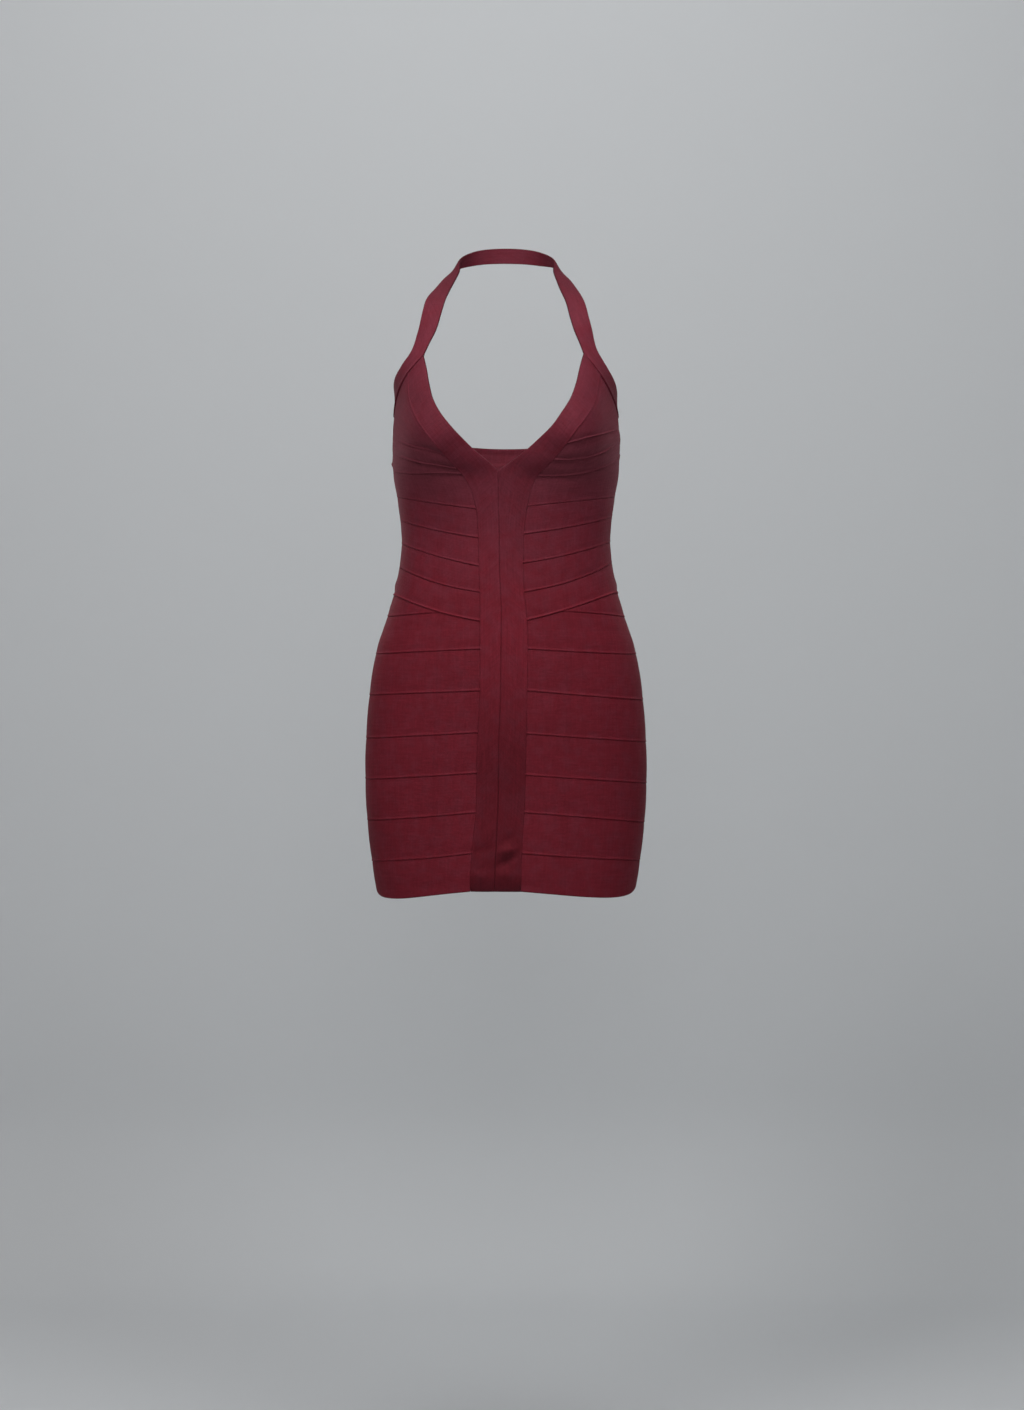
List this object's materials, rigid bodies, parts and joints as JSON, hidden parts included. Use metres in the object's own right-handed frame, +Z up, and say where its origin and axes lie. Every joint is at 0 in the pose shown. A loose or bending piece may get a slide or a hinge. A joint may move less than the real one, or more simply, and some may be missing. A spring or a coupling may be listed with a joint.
{
  "type": "bodycon dress",
  "caption": "Sleeveless halter-neck bodycon mini dress in deep red bandage knit, with a V neckline, slanting bodice bands and level skirt bands, in its worn shape.",
  "frame": {"origin": "at the nape, in the middle of the halter band's inner face, where the wearer's neck holds the dress up", "axes": "+Z up, the front looks to -Y, +X to the wearer's left"},
  "size_m": [0.3366, 0.2392, 0.788],
  "materials": {
    "side_knit": "matt stretch knit with a soft sheen, courses along each band",
    "centre_knit": "matt stretch knit, courses running down the strip",
    "back_knit": "matt stretch knit with a soft sheen, courses along each band",
    "halter_knit": "matt stretch knit, courses along the strap"
  },
  "bodies": {
    "root": {"cup_right": "side_knit", "bust_band_1_right": "side_knit", "bust_band_2_right": "side_knit", "bodice_band_1_right": "side_knit", "bodice_band_2_right": "side_knit", "bodice_band_3_right": "side_knit", "bodice_band_4_right": "side_knit", "bodice_band_5_right": "side_knit", "hip_wedge_right": "side_knit", "skirt_band_1_right": "side_knit", "skirt_band_2_right": "side_knit", "skirt_band_3_right": "side_knit", "skirt_band_4_right": "side_knit", "skirt_band_5_right": "side_knit", "skirt_band_6_right": "side_knit", "hem_band_right": "side_knit", "centre_band_right": "centre_knit", "cup_left": "side_knit", "bust_band_1_left": "side_knit", "bust_band_2_left": "side_knit", "bodice_band_1_left": "side_knit", "bodice_band_2_left": "side_knit", "bodice_band_3_left": "side_knit", "bodice_band_4_left": "side_knit", "bodice_band_5_left": "side_knit", "hip_wedge_left": "side_knit", "skirt_band_1_left": "side_knit", "skirt_band_2_left": "side_knit", "skirt_band_3_left": "side_knit", "skirt_band_4_left": "side_knit", "skirt_band_5_left": "side_knit", "skirt_band_6_left": "side_knit", "hem_band_left": "side_knit", "centre_band_left": "centre_knit", "halter_band": "halter_knit", "back_top_band": "back_knit", "back_bodice_band_1": "back_knit", "back_bodice_band_2": "back_knit", "back_bodice_band_3": "back_knit", "back_bodice_band_4": "back_knit", "back_hip_band": "back_knit", "back_skirt_band_1": "back_knit", "back_skirt_band_2": "back_knit", "back_skirt_band_3": "back_knit", "back_skirt_band_4": "back_knit", "back_skirt_band_5": "back_knit", "back_skirt_band_6": "back_knit", "back_hem_band": "back_knit"}
  },
  "joints": []
}
